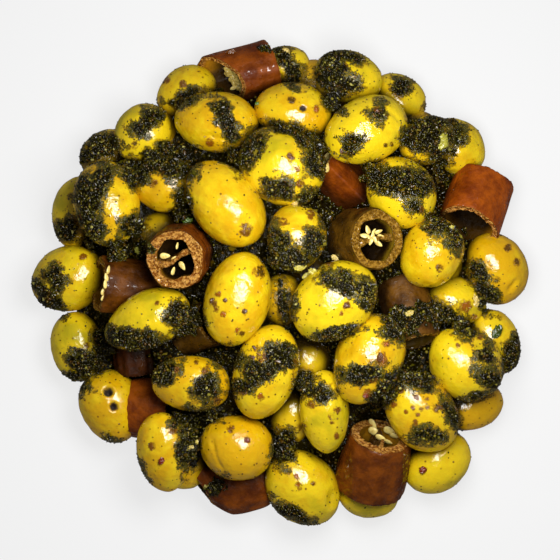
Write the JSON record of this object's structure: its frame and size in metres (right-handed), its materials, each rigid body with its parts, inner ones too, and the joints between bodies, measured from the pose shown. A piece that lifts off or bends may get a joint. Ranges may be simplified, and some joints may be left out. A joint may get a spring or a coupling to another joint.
{
  "type": "heap of marinated olives",
  "caption": "Loose round heap of marinated green olives with sliced pickled chilli tubes and clots of chopped herb, lying on its flat base.",
  "frame": {"origin": "middle of the flat base, at the middle of the bounding box", "axes": "+Z up out of the surface that the heap lies on; +Y is up in the picture taken from straight above"},
  "size_m": [0.1498, 0.1464, 0.0499],
  "materials": {
    "olive": "yellow-green olive skin under oil, speckled with herb",
    "chilli": "oily translucent brown pickled skin",
    "herb": "wet dark-green chopped herb",
    "seed": "pale wet seed and rib"
  },
  "bodies": {
    "root": {"olive_heap": "olive", "chilli_by_pitted_olive": "chilli", "chilli_deep_middle": "chilli", "chilli_deep_west": "chilli", "chilli_east": "chilli", "chilli_north": "chilli", "chilli_seeded_ring": "chilli", "chilli_shard": "chilli", "chilli_south_east": "chilli", "chilli_south_rim": "chilli", "chilli_under_clot": "chilli", "chilli_upright_ring": "chilli", "chilli_west": "chilli"}
  },
  "joints": []
}
